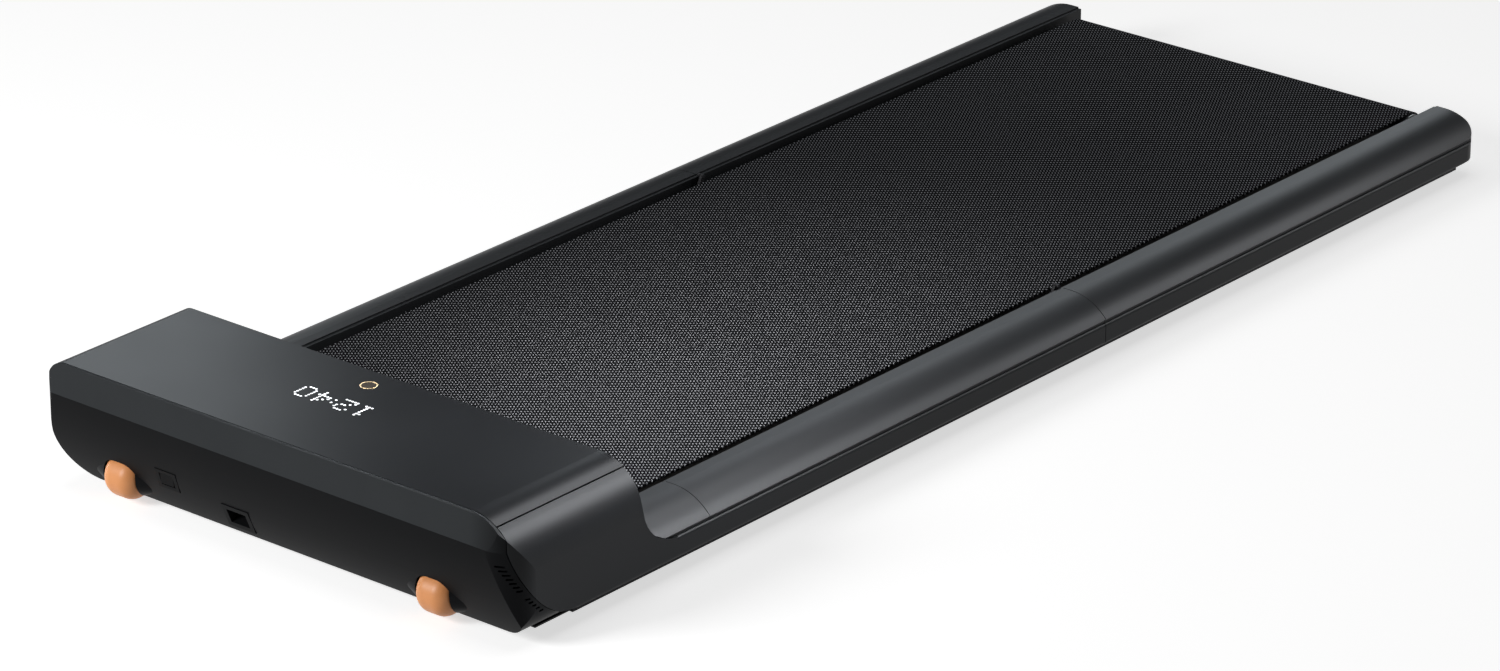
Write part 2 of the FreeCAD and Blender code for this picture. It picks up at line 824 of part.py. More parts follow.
# Steel frame
def screw_places(start, end):
    first = start + d.screw_end_inset
    last = end - d.screw_end_inset
    return [first, (first + last) / 2, last]


def beam(label, start, end, screw_spots, axle_spot):
    """Rectangular tube of the right-hand side, with holes for the cover screws and for a roller axle."""
    wall = d.beam_wall
    outer = box(f"{label}_outer", (beam_inner, beam_outer), (start, end), (cover_top, d.beam_top))
    hollow = box(f"{label}_hollow", (beam_inner + wall, beam_outer - wall),
                 (start - d.overrun, end + d.overrun), (cover_top + wall, d.beam_top - wall))
    tools = [hollow]
    for index, spot in enumerate(screw_spots):
        tools.append(rod(f"{label}_screw_hole_{index}", "Z", cover_top - d.overrun, cover_top + d.overrun,
                         (foot_side, spot), d.screw_radius + d.running_gap))
    if axle_spot is not None:
        tools.append(rod(f"{label}_axle_hole", "X", beam_inner - d.overrun, beam_inner + d.overrun,
                         (axle_spot, d.roller_height), d.axle_radius + d.running_gap))
    return cut(label, outer, *tools)


def cross_member(label, middle):
    """Hollow tube between the side beams, over the lower run of the walking belt."""
    half = d.cross_width / 2
    wall = d.cross_wall
    outer = box(f"{label}_outer", both_ways(beam_inner), (middle - half, middle + half),
                (d.cross_low, cross_top))
    hollow = box(f"{label}_hollow", (-beam_inner - d.overrun, beam_inner + d.overrun),
                 (middle - half + wall, middle + half - wall), (d.cross_low + wall, cross_top - wall))
    return cut(label, outer, hollow)


def deck(half_name, places, board_span):
    """Cross members, rubber cushions on them, and the running board on the cushions."""
    keep(group(f"cross_members_{half_name}",
               [cross_member(f"cross_{half_name}_{index}", spot) for index, spot in enumerate(places)]))
    cushions = []
    for index, spot in enumerate(places):
        for side in (1, -1):
            middle = side * (belt_reach * d.cushion_share)
            cushions.append(box(f"cushion_{half_name}_{index}_{'r' if side > 0 else 'l'}",
                                (middle - d.cushion_length / 2, middle + d.cushion_length / 2),
                                (spot - d.cushion_width / 2, spot + d.cushion_width / 2),
                                (cross_top, board_low)))
    keep(group(f"deck_cushions_{half_name}", cushions))
    reach = belt_reach - d.board_inset
    keep(box(f"running_board_{half_name}", (-reach, reach), board_span, (board_low, board_top)))


def frame_and_decks():
    front_screws = screw_places(beam_start, front_cut)
    rear_screws = screw_places(rear_cut, tail)
    pair("side_beam_front", beam("side_beam_front_right", beam_start, front_cut, front_screws, None))
    beam_end = tail - d.beam_tail_inset
    pair("side_beam_rear", beam("side_beam_rear_right", rear_cut, beam_end, rear_screws, rear_roller))
    wrap = d.roller_radius + d.board_roller_gap
    board_start = front_roller + wrap
    board_end = rear_roller - wrap
    front_run = front_cut - board_start
    rear_run = board_end - rear_cut
    deck("front", [board_start + front_run * share for share in cross_shares], (board_start, front_cut))
    deck("rear", [board_end - rear_run * share for share in cross_shares], (rear_cut, board_end))
    return front_screws, rear_screws


# Bottom covers, feet and screws
def bottom_cover(half_name, start, end, screw_spots):
    """Sheet under one half with upturned sides, its rubber feet and its screws."""
    side = cover_side
    sheet_wall = d.cover_sheet
    tray = prism(f"cover_stock_{half_name}", "Y", [
        (-side, d.foot_height), (side, d.foot_height), (side, d.foot_height + d.cover_flange),
        (side - sheet_wall, d.foot_height + d.cover_flange), (side - sheet_wall, cover_top),
        (sheet_wall - side, cover_top), (sheet_wall - side, d.foot_height + d.cover_flange),
        (-side, d.foot_height + d.cover_flange)], start, end)
    holes = []
    screws = []
    for index, spot in enumerate(screw_spots):
        for hand in (1, -1):
            name = f"{half_name}_{index}_{'r' if hand > 0 else 'l'}"
            at = (hand * foot_side, spot)
            holes.append(rod(f"cover_hole_{name}", "Z", d.foot_height - d.overrun, cover_top + d.overrun, at,
                             d.screw_radius + d.running_gap))
            shank_end = d.foot_height + d.screw_length
            shank = rod(f"screw_shank_{name}", "Z", d.foot_height, shank_end, at, d.screw_radius)
            head = rod(f"screw_head_{name}", "Z", d.foot_height - d.screw_head_height, d.foot_height, at,
                       d.screw_head_radius)
            screws.append(fuse(f"screw_{name}", shank, head))
    keep(cut(f"bottom_cover_{half_name}", tray, *holes))
    keep(group(f"cover_screws_{half_name}", screws))
    feet = []
    for end_name, spot in (("first", start + d.foot_end_inset), ("last", end - d.foot_end_inset)):
        for hand in (1, -1):
            feet.append(rod(f"foot_{half_name}_{end_name}_{'r' if hand > 0 else 'l'}", "Z", 0, d.foot_height,
                            (hand * foot_side, spot), d.foot_radius))
    keep(group(f"feet_{half_name}", feet))


# Walking belt and rollers
def walking_belt(half_name, fold_edge, roller, away):
    """Half of the belt loop: over the running board, round its roller and back below the cross members."""
    inner = d.roller_radius + d.clear_gap
    outer = inner + d.belt_thickness
    level = d.roller_height
    reach = belt_reach
    keep(prism(f"walking_belt_{half_name}", "X", [
        (fold_edge, level + outer), (roller, level + outer, -away * outer),
        (roller + away * outer, level, -away * outer),
        (roller, level - outer), (fold_edge, level - outer), (fold_edge, level - inner),
        (roller, level - inner, away * inner), (roller + away * inner, level, away * inner),
        (roller, level + inner), (fold_edge, level + inner)], -reach, reach))


def ring(label, x, inner, outer, at):
    """A round collar between two limits along X, about the axis at (Y, Z)."""
    return spin(label, oblong(x, (inner, outer)), (as_size(0), at[0], at[1]))


def roller(name, spot, axle_reach):
    """Tube on two bearings, and the fixed axle through them."""
    at = (spot, d.roller_height)
    bore = d.roller_radius - d.roller_wall
    reach = roller_reach
    keep(ring(f"{name}_roller_tube", (-reach, reach), bore, d.roller_radius, at))
    seat = d.axle_radius + d.running_gap
    keep(group(f"{name}_roller_bearings", [
        ring(f"{name}_bearing_right", (reach - d.bearing_width, reach), seat, bore, at),
        ring(f"{name}_bearing_left", (-reach, d.bearing_width - reach), seat, bore, at)]))
    keep(rod(f"{name}_roller_axle", "X", -axle_reach, axle_reach, at, d.axle_radius))


def roller_brackets():
    """Plates on the outer faces of the front beams that hold the front roller's axle."""
    plate = box("roller_bracket_stock", (beam_outer, beam_outer + d.bracket_plate),
                (front_roller - d.bracket_ahead, front_roller + d.bracket_behind), (cover_top, d.bracket_top))
    hole = rod("roller_bracket_hole", "X", beam_outer - d.overrun, beam_outer + d.overrun,
               (front_roller, d.roller_height), d.axle_radius + d.running_gap)
    twins("roller_brackets", cut("roller_bracket_right", plate, hole))


def belt_tension():
    """Plates in the ends of the rear beams, and the bolts through them that push on the rear axle."""
    wall = d.beam_wall
    end = tail - d.beam_tail_inset
    plates = []
    bolts = []
    for side in (1, -1):
        name = "right" if side > 0 else "left"
        near = side * (beam_inner + wall)
        far = side * (beam_outer - wall)
        limits = (near, far) if side > 0 else (far, near)
        at = (side * tension_side, d.roller_height)
        stock = box(f"tension_plate_stock_{name}", limits, (end - d.tension_plate, end),
                    (cover_top + wall, d.beam_top - wall))
        hole = rod(f"tension_hole_{name}", "Y", end - d.overrun, end + d.overrun, at,
                   d.tension_bolt_radius + d.running_gap)
        plates.append(cut(f"tension_plate_{name}", stock, hole))
        shank = rod(f"tension_shank_{name}", "Y", rear_roller + d.axle_radius, end, at, d.tension_bolt_radius)
        head = rod(f"tension_head_{name}", "Y", end, end + d.tension_head_height, at, d.tension_head_radius)
        bolts.append(fuse(f"tension_bolt_{name}", shank, head))
    keep(group("tension_plates", plates))
    keep(group("tension_bolts", bolts))


# Fold hinge
def hinge_plate(label, x, away):
    """Steel arm with an eye on the fold axis, lying along its beam."""
    lean = away * d.clear_gap
    arm = prism(f"{label}_arm", "X", [
        (fold_place + lean, hinge_height), (fold_place + lean, d.hinge_arm_low),
        (fold_place + away * d.hinge_arm, d.hinge_arm_low),
        (fold_place + away * d.hinge_arm, d.hinge_arm_high),
        (fold_place + away * d.hinge_pad_setback, d.hinge_arm_high),
        (fold_place + away * d.hinge_eye, hinge_height)], *x)
    eye = rod(f"{label}_eye", "X", *x, (fold_place, hinge_height), d.hinge_eye)
    return fuse(f"{label}_stock", arm, eye)


def fold_hinge():
    """Per side: the rear arm on its beam, the front arm with its packing pad, the pin through both."""
    rear_x = (beam_inner - d.hinge_plate, beam_inner)
    front_x = (rear_x[0] - d.clear_gap - d.hinge_plate, rear_x[0] - d.clear_gap)
    axis = (fold_place, hinge_height)
    hole = rod("hinge_pin_hole", "X", front_x[0] - d.overrun, beam_inner + d.overrun, axis,
               d.hinge_pin_radius + d.running_gap)
    packing = box("hinge_packing", (front_x[1], beam_inner),
                  (fold_place - d.hinge_arm, fold_place - d.hinge_pad_setback),
                  (d.hinge_arm_low, d.hinge_arm_high))
    front_stock = fuse("hinge_front_stock", hinge_plate("hinge_front", front_x, -1), packing)
    twins("hinge_plates_front", cut("hinge_plate_front_right", front_stock, hole))
    twins("hinge_plates_rear", cut("hinge_plate_rear_right", hinge_plate("hinge_rear", rear_x, 1), hole))
    shank = rod("hinge_pin_shank", "X", front_x[0], beam_inner, axis, d.hinge_pin_radius)
    head = rod("hinge_pin_cap", "X", front_x[0] - d.hinge_head_height, front_x[0], axis, d.hinge_pin_head)
    twins("hinge_pins", fuse("hinge_pin_right", shank, head))


# Drive in the head
display_low = d.head_height - d.shell_wall - d.display_thickness
motor_radius = (display_low - d.head_bottom) * d.motor_share / 2
motor_axis = (front_roller - d.motor_ahead, d.head_bottom + d.motor_lift + motor_radius)
pulley_x = (roller_reach, roller_reach + d.pulley_width)


def pulley(label, radius, bore, at):
    """Pulley with two low flanges that keep the drive belt on its seat."""
    low, high = pulley_x
    lip = radius + d.pulley_lip
    seat = (low + d.pulley_flange, high - d.pulley_flange)
    return spin(label, [
        (low, bore), (high, bore), (high, lip), (seat[1], lip), (seat[1], radius), (seat[0], radius),
        (seat[0], lip), (low, lip)], (as_size(0), at[0], at[1]))


def drive_belt():
    """Loop round both pulleys: two arcs and the two straight runs that touch them."""
    seat_gap = d.clear_gap.value
    thick = d.drive_belt_thickness.value
    low = (pulley_x[0] + d.pulley_flange + d.clear_gap).value
    high = (pulley_x[1] - d.pulley_flange - d.clear_gap).value
    big = Vector(0, front_roller.value, d.roller_height.value)
    small = Vector(0, motor_axis[0].value, motor_axis[1].value)
    along = small - big
    lean = math.atan2(along.z, along.y)

    def loop(grow):
        radii = (d.roller_pulley_radius.value + grow, d.motor_pulley_radius.value + grow)
        spread = math.acos((radii[0] - radii[1]) / along.Length)

        def spot(centre, radius, angle):
            return centre + Vector(0, math.cos(angle), math.sin(angle)) * radius

        up, down = lean + spread, lean - spread
        far_side = lean + math.pi
        big_arc = Part.Arc(*(spot(big, radii[0], angle) for angle in (up, far_side, down)))
        small_arc = Part.Arc(*(spot(small, radii[1], angle) for angle in (down, lean, up)))
        runs = [Part.LineSegment(spot(big, radii[0], down), spot(small, radii[1], down)),
                Part.LineSegment(spot(small, radii[1], up), spot(big, radii[0], up))]
        edges = [big_arc.toShape(), runs[0].toShape(), small_arc.toShape(), runs[1].toShape()]
        return Part.Face(Part.Wire(edges)).extrude(Vector(high - low, 0, 0))

    belt = named("Part::Feature", "drive_belt")
    belt.Shape = loop(seat_gap + thick).cut(loop(seat_gap))
    belt.Placement = Placement(Vector(low, 0, 0), Rotation())
    keep(belt)


def motor():
    """Motor along X: hollow case in a cradle on the base tray, with its rotor, shaft and pulley."""
    end = half_width - d.motor_inset
    start = end - d.motor_length
    wall = d.motor_end_wall
    seat = d.shaft_radius + d.running_gap
    bore = motor_radius - wall
    at = (as_size(0), motor_axis[0], motor_axis[1])
    keep(spin("motor_case", [
        (start, seat), (start, motor_radius), (end, motor_radius), (end, seat), (end - wall, seat),
        (end - wall, bore), (start + wall, bore), (start + wall, seat)], at))
    gap = wall + d.core_end_gap
    keep(ring("motor_rotor", (start + gap, end - gap), d.shaft_radius, bore - d.core_gap, motor_axis))
    shaft_end = pulley_x[1] + d.shaft_stub
    keep(rod("motor_shaft", "X", start - d.shaft_stub, shaft_end, motor_axis, d.shaft_radius))
    keep(pulley("motor_pulley", d.motor_pulley_radius, d.shaft_radius, motor_axis))
    block = box("cradle_stock", (start + d.cradle_inset, end - d.cradle_inset),
                (sweep_end + d.seam_gap, tray_end - d.seam_gap), (d.head_bottom, d.cradle_top))
    bed = rod("cradle_bed", "X", start, end, motor_axis, motor_radius + d.running_gap)
    keep(cut("motor_cradle", block, bed))


def head_inside():
    """Base tray, control board on posts with heat sink and capacitors, display under the top cover."""
    edge = cover_side - d.cover_sheet - d.clear_gap
    ahead = wheel_spot[0] + d.wheel_radius + d.wheel_gap
    keep(box("base_tray", both_ways(edge), (ahead, tray_end), (cover_top, d.head_bottom)))
    low = d.head_bottom + d.circuit_lift
    top = low + d.circuit_sheet
    left = d.circuit_inset - half_width
    right = half_width - d.motor_inset - d.motor_length - d.circuit_motor_gap
    ahead = sweep_end + d.circuit_gap
    back = tray_end - d.circuit_gap
    inset = d.post_radius
    parts = [box("circuit_plate", (left, right), (ahead, back), (low, top))]
    for index, spot in enumerate(((left + inset, ahead + inset), (right - inset, ahead + inset),
                                  (left + inset, back - inset), (right - inset, back - inset))):
        parts.append(rod(f"circuit_post_{index}", "Z", d.head_bottom, low, spot, d.post_radius))
    parts.append(box("heat_sink", (left + inset, left + inset + d.sink_span),
                     (ahead + inset, ahead + inset + (back - ahead) * d.sink_share),
                     (top, top + d.sink_height)))
    for index in range(2):
        middle = right - d.can_radius - inset - d.can_pitch * index
        spot = (middle, (ahead + back) / 2)
        parts.append(rod(f"capacitor_{index}", "Z", top, top + d.can_height, spot, d.can_radius))
    keep(fuse("control_board", *parts))
    rear_edge = head_rear - d.shell_wall - d.display_rear_gap
    half_span = d.display_span / 2
    keep(box("display_module", (-d.display_offset - half_span, half_span - d.display_offset),
             (rear_edge - d.display_depth, rear_edge), (display_low, display_low + d.display_thickness)))


# Transport wheels
def wheels():
    """Two barrel wheels in the fascia's housings, on axles held in the housings."""
    axles = []
    for side, middle in hands.items():
        keep(wheel_form(f"wheel_{side}", side, as_size(0)))
        axles.append(rod(f"wheel_axle_{side}", "X", middle - d.wheel_axle_reach, middle + d.wheel_axle_reach,
                         wheel_spot, d.wheel_axle_radius - d.running_gap))
    keep(group("wheel_axles", axles))


# Power inlet and switch, square to the lower front
inlet_spot = (d.inlet_inset - half_width, front_at(d.inlet_height), d.inlet_height)
inlet_lean = front_lean(d.inlet_height)
switch_spot = (d.switch_inset - half_width, front_at(d.switch_height), d.switch_height)
switch_lean = front_lean(d.switch_height)


def block(label, x, y, z):
    return prism(label, "X", oblong(y, z), *x)


def power_inlet():
    """Appliance inlet: a rim in the fascia's hole, a box with an open mouth, and three flat blades."""
    wide = d.inlet_width / 2
    tall = d.inlet_tall / 2
    mouth_wide = wide - d.inlet_mouth_wall
    mouth_tall = tall - d.inlet_mouth_wall
    rim = block("inlet_rim_stock", both_ways(wide + d.inlet_rim), (-d.inlet_proud, d.shell_wall),
                both_ways(tall + d.inlet_rim))
    body = block("inlet_box_stock", both_ways(wide), (0, d.inlet_depth), both_ways(tall))
    mouth = block("inlet_mouth", both_ways(mouth_wide), (-d.overrun, d.inlet_cavity), both_ways(mouth_tall))
    blades = []
    for index, (side, rise) in enumerate(((-1, -1), (1, -1), (0, 1))):
        middle = side * d.blade_spread
        level = rise * d.blade_rise
        blades.append(block(f"inlet_blade_{index}", (middle - d.blade_sheet / 2, middle + d.blade_sheet / 2),
                            (d.inlet_cavity - d.blade_length, d.inlet_cavity),
                            (level - d.blade_width / 2, level + d.blade_width / 2)))
    shell = cut("inlet_shell", fuse("inlet_stock", rim, body), mouth)
    keep(place(fuse("power_inlet", shell, *blades), inlet_spot, inlet_lean))


def power_switch():
    """Rocker switch: a housing in the fascia's hole, and a rocker on two trunnions."""
    wide = d.switch_width / 2
    tall = d.switch_tall / 2
    half_rocker = d.rocker_width / 2
    mouth = block("switch_mouth", both_ways(half_rocker + d.rocker_side_gap),
                  (-d.overrun, d.rocker_pivot_depth + d.rocker_depth),
                  both_ways(d.rocker_tall / 2 + d.rocker_end_gap))
    rim = block("switch_rim_stock", both_ways(wide + d.switch_rim), (-d.switch_proud, d.shell_wall),
                both_ways(tall + d.switch_rim))
    body = block("switch_box_stock", both_ways(wide), (0, d.switch_depth), both_ways(tall))
    reach = half_rocker + d.trunnion_length
    sockets = rod("trunnion_sockets", "X", -reach - d.running_gap, reach + d.running_gap,
                  (d.rocker_pivot_depth, as_size(0)), d.trunnion_radius + d.running_gap)
    housing = cut("switch_housing", fuse("switch_stock", rim, body), mouth, sockets)
    keep(place(housing, switch_spot, switch_lean))
    half_tall = d.rocker_tall / 2
    face = -d.rocker_pivot_depth - d.switch_proud
    rocker_body = prism("rocker_body", "X", [
        (face, -half_tall), (0, -half_tall), (d.rocker_depth / 2, 0), (0, half_tall), (face, half_tall)],
        -half_rocker, half_rocker)
    trunnions = rod("rocker_trunnions", "X", -reach, reach, (as_size(0), as_size(0)), d.trunnion_radius)
    rocker = fuse("power_rocker", rocker_body, trunnions)
    tilt = math.radians(switch_lean.value)
    inward = Vector(0, math.cos(tilt), math.sin(tilt)) * d.rocker_pivot_depth.value
    rocker.Placement = Placement(
        Vector(switch_spot[0].value, switch_spot[1].value, switch_spot[2].value) + inward,
        Rotation(Vector(1, 0, 0), switch_lean.value - d.rocker_throw.value / 2))
    keep(rocker)


def build():
    shell = head_shell()
    front_fascia(shell)
    head_top_cover()
    side_panel("side_panel_right", 1, shell, d.near_corner_round, d.near_shoulder, d.near_seam_drop)
    side_panel("side_panel_left", -1, shell, d.far_corner_round, d.far_shoulder, d.far_seam_drop)
    head_rear_wall()
    rails_and_skirts()
    front_screws, rear_screws = frame_and_decks()
    bottom_cover("front", sliver_end + d.seam_gap, front_cut, front_screws)
    bottom_cover("rear", rear_cut, tail - d.cover_tail_inset, rear_screws)
    walking_belt("front", front_cut, front_roller, -1)
    walking_belt("rear", rear_cut, rear_roller, 1)
    roller("front", front_roller, beam_outer + d.bracket_plate)
    roller("rear", rear_roller, tension_side + d.axle_radius)
    keep(pulley("roller_pulley", d.roller_pulley_radius, d.axle_radius + d.clear_gap,
                (front_roller, d.roller_height)))
    roller_brackets()
    belt_tension()
    fold_hinge()
    drive_belt()
    motor()
    head_inside()
    wheels()
    power_inlet()
    power_switch()


def export():
    doc.recompute()
    for thing in doc.Objects:
        if "Invalid" in thing.State or "Error" in thing.State:
            raise RuntimeError(f"{thing.Label} failed: {thing.State}")
    for thing in nodes:
        shape = thing.Shape
        if shape.isNull() or not shape.isValid() or not shape.Solids:
            raise RuntimeError(f"{thing.Label} has no valid solid")
    os.makedirs("parts", exist_ok=True)
    for thing in nodes:
        thing.Shape.exportStep(f"parts/{thing.Label}.step")
    print(len(nodes), "nodes written")


build()
export()
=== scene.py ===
import json
import math

import bmesh
import bpy
from mathutils import Matrix, Vector


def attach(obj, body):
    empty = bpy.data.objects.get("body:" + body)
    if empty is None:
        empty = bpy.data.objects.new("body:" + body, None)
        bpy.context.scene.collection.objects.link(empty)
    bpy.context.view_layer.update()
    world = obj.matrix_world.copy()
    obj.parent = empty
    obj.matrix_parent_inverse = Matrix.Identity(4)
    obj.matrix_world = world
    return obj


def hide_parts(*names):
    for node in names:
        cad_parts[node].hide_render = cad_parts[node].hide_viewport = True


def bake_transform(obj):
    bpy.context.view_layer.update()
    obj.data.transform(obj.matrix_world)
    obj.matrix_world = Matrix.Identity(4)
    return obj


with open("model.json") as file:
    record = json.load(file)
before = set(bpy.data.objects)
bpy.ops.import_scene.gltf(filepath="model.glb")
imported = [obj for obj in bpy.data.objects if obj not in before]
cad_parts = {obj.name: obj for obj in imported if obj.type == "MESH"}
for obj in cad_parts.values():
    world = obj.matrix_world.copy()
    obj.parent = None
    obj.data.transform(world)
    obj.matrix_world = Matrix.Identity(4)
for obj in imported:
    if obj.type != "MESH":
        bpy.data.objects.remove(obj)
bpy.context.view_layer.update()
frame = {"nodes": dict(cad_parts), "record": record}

scene = bpy.context.scene
scene.view_settings.view_transform = "Standard"
nodes = frame["nodes"]
print("frame loaded,", len(nodes), "nodes")


# shader helpers
class Wire:  # a node's output, with sums written as Python
    def __init__(self, paint, socket):
        self.paint = paint
        self.socket = socket

    def sum(self, operation, first, second):
        return self.paint.add("ShaderNodeMath", {"operation": operation}, {0: first, 1: second})

    def __add__(self, other):
        return self.sum("ADD", self, other)

    def __radd__(self, other):
        return self.sum("ADD", other, self)

    def __sub__(self, other):
        return self.sum("SUBTRACT", self, other)

    def __rsub__(self, other):
        return self.sum("SUBTRACT", other, self)

    def __mul__(self, other):
        return self.sum("MULTIPLY", self, other)

    def __rmul__(self, other):
        return self.sum("MULTIPLY", other, self)

    def __truediv__(self, other):
        return self.sum("DIVIDE", self, other)

    def __rtruediv__(self, other):
        return self.sum("DIVIDE", other, self)

    def __gt__(self, other):
        return self.sum("GREATER_THAN", self, other)

    def __lt__(self, other):  # a number > a wire comes here
        return self.sum("LESS_THAN", self, other)


class Paint:  # a material or world node tree
    def __init__(self, name, owner=None):
        self.owner = owner or bpy.data.materials.new(name)
        self.owner.use_nodes = True
        self.tree = self.owner.node_tree
        self.tree.nodes.clear()

    def add(self, kind, settings=None, sockets=None, out=0):
        node = self.tree.nodes.new(kind)
        for key, value in (settings or {}).items():
            if key == "stops":
                self.setStops(node.color_ramp.elements, value)
            else:
                setattr(node, key, value)
        for key, value in (sockets or {}).items():
            if isinstance(value, Wire):
                self.tree.links.new(value.socket, node.inputs[key])
            else:
                node.inputs[key].default_value = value
        return Wire(self, node.outputs[out]) if node.outputs else node

    def setStops(self, elements, stops):
        while len(elements) < len(stops):
            elements.new(1.0)
        for element, (place, colour) in zip(elements, stops):
            element.position = place
            element.color = (*colour, 1.0)

    def place(self):  # the part's own frame, in metres
        return self.add("ShaderNodeTexCoord", out="Object")

    def axis(self, name):
        return self.add("ShaderNodeSeparateXYZ", sockets={0: self.place()}, out=name)

    def noise(self, scale, detail=4.0, roughness=0.55):
        return self.add("ShaderNodeTexNoise", sockets={"Vector": self.place(), "Scale": scale, "Detail": detail,
                                                       "Roughness": roughness})

    def ramp(self, wire, stops):
        return self.add("ShaderNodeValToRGB", {"stops": stops}, {0: wire})

    def mix(self, factor, first, second, way="MIX"):  # 6, 7 and 2 are the node's colour sockets
        settings = {"data_type": "RGBA", "blend_type": way}
        return self.add("ShaderNodeMix", settings, {0: factor, 6: first, 7: second}, out=2)

    def cosine(self, wire):
        return self.add("ShaderNodeMath", {"operation": "COSINE"}, {0: wire})

    def bump(self, height, strength, distance):
        return self.add("ShaderNodeBump", sockets={"Strength": strength, "Distance": distance, "Height": height})

    def surface(self, **looks):
        names = {"colour": "Base Color", "roughness": "Roughness", "metallic": "Metallic", "normal": "Normal",
                 "specular": "Specular IOR Level", "glow": "Emission Color", "glowStrength": "Emission Strength"}
        shader = self.add("ShaderNodeBsdfPrincipled", sockets={names[key]: value for key, value in looks.items()})
        self.add("ShaderNodeOutputMaterial", sockets={0: shader})
        return self.owner


def shade(colour, factor):
    return tuple(part * factor for part in colour)


def toneRamp(paint, wire, look, colour):  # one colour, from its dark tone to its light one
    return paint.ramp(wire, [(place, shade(colour, factor)) for place, factor in look["tones"]])


# camera at the photograph's angle
cameraView = {"place": (3.4710, -4.2335, 2.3135), "azimuth": 39.89, "elevation": 23.04, "lens": 152.1, "sensor": 36.0}


def makeCamera(view):
    data = bpy.data.cameras.new("photoCamera")
    data.lens = view["lens"]
    data.sensor_width = view["sensor"]
    camera = bpy.data.objects.new("photoCamera", data)
    camera.location = view["place"]
    camera.rotation_euler = (math.radians(90 - view["elevation"]), 0, math.radians(view["azimuth"]))
    scene.collection.objects.link(camera)
    scene.camera = camera


makeCamera(cameraView)
print("camera set")


# studio: white floor, soft boxes
studio = {
    "floorHalf": 30.0, "floorColour": (0.80, 0.80, 0.80), "floorLift": 0.65, "worldStrength": 0.05,
    "lamps": {
        "overheadBox": {"place": (0.2, 0.0, 3.0), "aim": (0.0, 0.0, 0.0), "along": (0, 1, 0), "size": (2.4, 2.4),
                        "power": 20.0},
        "beltBox": {"place": (0.11, -0.34, 1.20), "aim": (0.11, -0.34, 0.06), "along": (0, 1, 0),
                    "size": (0.15, 0.65), "power": 2.6, "spread": 42.0, "sparesFloor": True},
        "shoulderBox": {"place": (0.74, 0.22, 0.78), "aim": (0.26, -0.64, 0.10), "along": (0, 1, 0),
                        "size": (0.52, 0.36), "power": 1.2, "spread": 44.0, "tint": (0.94, 0.96, 1.0),
                        "sparesFloor": True},
        "crownBox": {"place": (0.25, 0.24, 0.99), "aim": (0.25, -0.64, 0.115), "along": (0, 1, 0),
                     "size": (0.40, 0.36), "power": 0.38, "spread": 40.0, "tint": (0.94, 0.96, 1.0),
                     "sparesFloor": True},
        "frontBox": {"place": (-1.2, -3.2, 1.5), "aim": (0.0, -0.70, 0.08), "along": (1, 0, 0), "size": (0.9, 1.2),
                     "power": 70.0},
        "leftRearBox": {"place": (-1.50, 0.40, 0.80), "aim": (-0.20, -0.60, 0.10), "along": (0, 1, 0),
                        "size": (0.50, 0.60), "power": 3.7, "tint": (0.88, 0.95, 1.0), "sparesFloor": True},
        "railStrip": {"place": (-0.55, 1.20, 0.77), "aim": (0.23, 0.15, 0.06), "along": (0, 1, 0),
                      "size": (0.34, 1.20), "power": 5.4, "tint": (0.88, 0.95, 1.0), "sparesFloor": True},
        "rightRearStrip": {"place": (0.88, 0.82, 1.0), "aim": (0.29, -0.24, 0.11), "along": (0, 1, 0),
                           "size": (0.24, 1.44), "power": 1.5, "spread": 50.0, "tint": (0.94, 0.96, 1.0),
                           "sparesFloor": True},
        "leftFill": {"place": (-3.0, -0.2, 0.45), "aim": (-0.27, 0.0, 0.06), "along": (0, 1, 0), "size": (0.8, 1.6),
                     "power": 70.0, "sparesFloor": True},
        "backFill": {"place": (0.5, 3.7, 0.45), "aim": (0.0, 0.72, 0.06), "along": (1, 0, 0), "size": (0.8, 1.6),
                     "power": 70.0, "sparesFloor": True},
    },
}


def makeLamp(name, spec, spared):
    data = bpy.data.lights.new(name, "AREA")
    data.shape = "RECTANGLE"
    data.size, data.size_y = spec["size"]
    data.energy = spec["power"]
    data.color = spec.get("tint", (1, 1, 1))
    data.spread = math.radians(spec.get("spread", 180.0))
    back = (Vector(spec["place"]) - Vector(spec["aim"])).normalized()
    along = Vector(spec["along"])
    along = (along - back * along.dot(back)).normalized()
    turn = Matrix((along.cross(back), along, back)).transposed()  # the long side runs along the given way
    lamp = bpy.data.objects.new(name, data)
    lamp.matrix_world = Matrix.Translation(spec["place"]) @ turn.to_4x4()
    if spec.get("sparesFloor"):
        lamp.light_linking.receiver_collection = spared
    scene.collection.objects.link(lamp)


def seenRays(paint):  # camera, mirror and glass rays see the plain white floor
    paths = [paint.add("ShaderNodeLightPath", out=name) for name in ("Is Camera Ray", "Is Glossy Ray",
                                                                     "Is Transmission Ray")]
    return paths[0] + paths[1] + paths[2]


